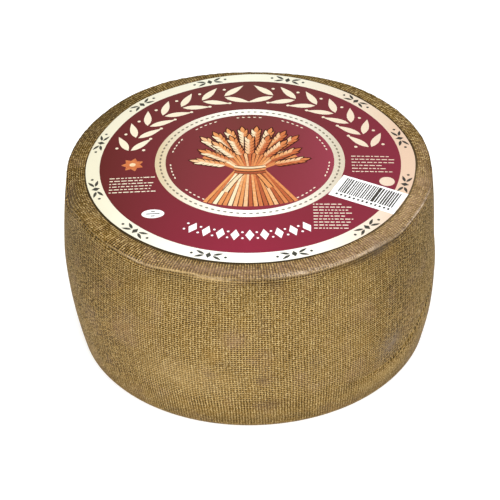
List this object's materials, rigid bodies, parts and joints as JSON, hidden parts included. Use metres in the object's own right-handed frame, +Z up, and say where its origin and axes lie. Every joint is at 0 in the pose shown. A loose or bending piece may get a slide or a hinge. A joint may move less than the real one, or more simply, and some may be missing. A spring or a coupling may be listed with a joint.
{
  "type": "cheese wheel",
  "caption": "Whole pressed cheese wheel: a low barrel with a cloth-marked golden-brown rind, a soft uneven lip and a round printed paper label on its domed top.",
  "frame": {"origin": "middle of the flat base, on the surface the wheel stands on", "axes": "+Z up through the middle of the label; -Y towards the side that the picture shows in front; +X to the picture's right"},
  "size_m": [0.1986, 0.1981, 0.1028],
  "materials": {
    "rind": "golden-brown oiled rind with a fine woven imprint, half matte",
    "label_paper": "coated paper printed burgundy with a cream rim and a cream ring, satin"
  },
  "bodies": {
    "root": {"cheese_wheel": "rind", "paper_label": "label_paper"}
  },
  "joints": []
}
